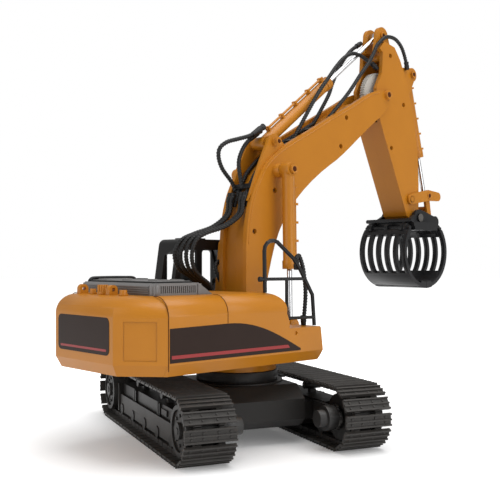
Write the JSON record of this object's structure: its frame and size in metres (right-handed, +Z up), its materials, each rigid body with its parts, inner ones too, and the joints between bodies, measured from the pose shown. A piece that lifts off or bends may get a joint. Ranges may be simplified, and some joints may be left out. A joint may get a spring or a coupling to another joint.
{
  "type": "toy excavator",
  "caption": "Toy crawler excavator with a turning superstructure, cranked boom, stick and a two-jaw sorting grab worked by cylinders and a linkage.",
  "frame": {"origin": "on the ground, under the middle of the model's box at rest", "axes": "+X the way the superstructure and boom face, +Y to the cab's side (left), +Z up; the tracks stand 71 degrees round from +X at rest"},
  "size_m": [0.4178, 0.2936, 0.3759],
  "materials": {
    "track_black": "moulded, satin",
    "frame_black": "moulded, satin",
    "cab_black": "moulded, semi-gloss",
    "grab_black": "moulded, semi-gloss",
    "yellow": "moulded, semi-gloss",
    "hood_grey": "painted, matt",
    "drive_grey": "moulded, matt",
    "nylon_white": "natural nylon",
    "motor_steel": "plated can",
    "screw_steel": "blackened",
    "rod_chrome": "polished",
    "hose_rubber": "ribbed, matt",
    "battery_green": "shrink wrap",
    "board_green": "solder mask"
  },
  "bodies": {
    "undercarriage": {"chassis": "frame_black", "slew_bearing": "frame_black", "slew_ring_gear": "nylon_white", "track_frame_left": "frame_black", "track_frame_right": "frame_black", "track_rollers": "frame_black", "track_belt_left": "track_black", "track_belt_right": "track_black", "drive_motors": "drive_grey"},
    "sprocket_left": {"sprocket_left": "frame_black"},
    "sprocket_right": {"sprocket_right": "frame_black"},
    "idler_left": {"idler_left": "frame_black"},
    "idler_right": {"idler_right": "frame_black"},
    "upper": {"turret_floor": "yellow", "slew_motor": "motor_steel", "battery_pack": "battery_green", "circuit_board": "board_green", "counterweight": "yellow", "engine_cover_left": "yellow", "engine_cover_right": "yellow", "front_deck": "yellow", "tank_step": "yellow", "cab_base": "yellow", "engine_hood": "hood_grey", "hood_lid": "hood_grey", "deck_fittings": "yellow", "deck_hoses": "hose_rubber", "service_hoses": "hose_rubber", "cab_frame": "cab_black", "cab_seat": "cab_black", "cab_mirror": "cab_black", "hose_tower": "yellow", "guard_rail": "cab_black", "boom_drive": "motor_steel"},
    "slew_pinion": {"slew_pinion": "nylon_white"},
    "power_switch": {"power_switch": "frame_black"},
    "boom": {"boom_shell_left": "yellow", "boom_shell_right": "yellow", "boom_pins": "screw_steel", "boom_hoses": "hose_rubber", "tip_hoses": "hose_rubber", "stick_motor": "motor_steel"},
    "boom_barrel_left": {"boom_barrel_left": "yellow"},
    "boom_barrel_right": {"boom_barrel_right": "yellow"},
    "boom_rod_left": {"boom_rod_left": "rod_chrome"},
    "boom_rod_right": {"boom_rod_right": "rod_chrome"},
    "stick_barrel": {"stick_barrel": "yellow"},
    "stick_rod": {"stick_rod": "rod_chrome"},
    "stick": {"stick_shell_left": "yellow", "stick_shell_right": "yellow", "stick_pins": "screw_steel", "stick_gear": "nylon_white", "stick_hoses": "hose_rubber"},
    "tool_barrel": {"tool_barrel": "yellow"},
    "tool_rod": {"tool_rod": "rod_chrome"},
    "rocker": {"rocker": "yellow"},
    "tool_link": {"tool_link": "yellow"},
    "grab_frame": {"grab_frame": "grab_black"},
    "jaw_front": {"jaw_front": "grab_black"},
    "jaw_rear": {"jaw_rear": "grab_black"}
  },
  "joints": [
    {"name": "sprocket_left_spin", "type": "hinge", "parent": "undercarriage", "child": "sprocket_left", "pos_m": [-0.14821, -0.07565, 0.02518], "axis": [-0.9455, 0.3256, 0], "continuous": true},
    {"name": "idler_left_spin", "type": "hinge", "parent": "undercarriage", "child": "idler_left", "pos_m": [-0.08199, 0.11667, 0.02518], "axis": [-0.9455, 0.3256, 0], "continuous": true},
    {"name": "sprocket_right_spin", "type": "hinge", "parent": "undercarriage", "child": "sprocket_right", "pos_m": [-0.02908, -0.11667, 0.02518], "axis": [-0.9455, 0.3256, 0], "continuous": true},
    {"name": "idler_right_spin", "type": "hinge", "parent": "undercarriage", "child": "idler_right", "pos_m": [0.03714, 0.07565, 0.02518], "axis": [-0.9455, 0.3256, 0], "continuous": true},
    {"name": "slew", "type": "hinge", "parent": "undercarriage", "child": "upper", "pos_m": [-0.06195, -0.01863, 0.06], "axis": [0, 0, 1], "range_deg": [-340, 340]},
    {"name": "slew_pinion_spin", "type": "hinge", "parent": "upper", "child": "slew_pinion", "pos_m": [-0.08395, -0.01863, 0.05], "axis": [0, 0, 1], "range_deg": [-1361, 1361]},
    {"name": "power_switch_slide", "type": "slide", "parent": "upper", "child": "power_switch", "axis": [0, 1, 0], "range_m": [-0.002, 0.002]},
    {"name": "boom_swing", "type": "hinge", "parent": "upper", "child": "boom", "pos_m": [-0.05595, -0.01863, 0.106], "axis": [0, -1, 0], "range_deg": [-38, 4], "deforming": ["deck_hoses"]},
    {"name": "boom_barrel_left_tilt", "type": "hinge", "parent": "boom", "child": "boom_barrel_left", "pos_m": [-0.03125, 0.01137, 0.2216], "axis": [0, -1, 0], "range_deg": [-0.3, 2.44]},
    {"name": "boom_rod_left_slide", "type": "slide", "parent": "boom_barrel_left", "child": "boom_rod_left", "axis": [0.0177, 0, -0.9998], "range_m": [-0.01934, 0.00213]},
    {"name": "boom_barrel_right_tilt", "type": "hinge", "parent": "boom", "child": "boom_barrel_right", "pos_m": [-0.03125, -0.04863, 0.2216], "axis": [0, -1, 0], "range_deg": [-0.3, 2.44]},
    {"name": "boom_rod_right_slide", "type": "slide", "parent": "boom_barrel_right", "child": "boom_rod_right", "axis": [0.0177, 0, -0.9998], "range_m": [-0.01934, 0.00213]},
    {"name": "stick_swing", "type": "hinge", "parent": "boom", "child": "stick", "pos_m": [0.11905, -0.01863, 0.3072], "axis": [0, -1, 0], "range_deg": [-10, 45], "deforming": ["tip_hoses"]},
    {"name": "stick_barrel_tilt", "type": "hinge", "parent": "boom", "child": "stick_barrel", "pos_m": [-0.03195, -0.01863, 0.2465], "axis": [0, -1, 0], "range_deg": [-1.51, 6.62]},
    {"name": "stick_rod_slide", "type": "slide", "parent": "stick_barrel", "child": "stick_rod", "axis": [0.7864, 0, 0.6178], "range_m": [-0.04172, 0.00935]},
    {"name": "grab_tilt", "type": "hinge", "parent": "stick", "child": "grab_frame", "pos_m": [0.16685, -0.01863, 0.1893], "axis": [0, -1, 0], "range_deg": [-25, 25]},
    {"name": "rocker_tilt", "type": "hinge", "parent": "stick", "child": "rocker", "pos_m": [0.15905, -0.01863, 0.208], "axis": [0, -1, 0], "range_deg": [-21.48, 21.48]},
    {"name": "tool_link_tilt", "type": "hinge", "parent": "rocker", "child": "tool_link", "pos_m": [0.18905, -0.01863, 0.213], "axis": [0, -1, 0], "range_deg": [-14.31, 14.31]},
    {"name": "tool_barrel_tilt", "type": "hinge", "parent": "stick", "child": "tool_barrel", "pos_m": [0.17025, -0.01863, 0.3365], "axis": [0, -1, 0], "range_deg": [-1.1, 1.1]},
    {"name": "tool_rod_slide", "type": "slide", "parent": "tool_barrel", "child": "tool_rod", "axis": [0.2658, 0, -0.964], "range_m": [-0.01673, 0.01673]},
    {"name": "jaw_front_swing", "type": "hinge", "parent": "grab_frame", "child": "jaw_front", "pos_m": [0.19345, -0.01863, 0.1786], "axis": [0, -1, 0], "range_deg": [0, 60]},
    {"name": "jaw_rear_swing", "type": "hinge", "parent": "grab_frame", "child": "jaw_rear", "pos_m": [0.14185, -0.01863, 0.1786], "axis": [0, -1, 0], "range_deg": [-60.05, 0.05]}
  ],
  "couplings": [
    {"joint": "idler_left_spin", "follows": "sprocket_left_spin", "ratio": 1},
    {"joint": "idler_right_spin", "follows": "sprocket_right_spin", "ratio": 1},
    {"joint": "slew_pinion_spin", "follows": "slew", "ratio": 4},
    {"joint": "boom_barrel_left_tilt", "follows": "boom_swing", "ratio": -0.062787},
    {"joint": "boom_rod_left_slide", "follows": "boom_swing", "m_per_rad": 0.029006},
    {"joint": "boom_barrel_right_tilt", "follows": "boom_swing", "ratio": -0.062787},
    {"joint": "boom_rod_right_slide", "follows": "boom_swing", "m_per_rad": 0.029006},
    {"joint": "stick_barrel_tilt", "follows": "stick_swing", "ratio": 0.14611},
    {"joint": "stick_rod_slide", "follows": "stick_swing", "m_per_rad": -0.052996},
    {"joint": "rocker_tilt", "follows": "grab_tilt", "ratio": 0.85727},
    {"joint": "tool_link_tilt", "follows": "grab_tilt", "ratio": -0.57053},
    {"joint": "tool_barrel_tilt", "follows": "grab_tilt", "ratio": 0.041839},
    {"joint": "tool_rod_slide", "follows": "grab_tilt", "m_per_rad": -0.038117},
    {"joint": "jaw_rear_swing", "follows": "jaw_front_swing", "ratio": -1}
  ]
}
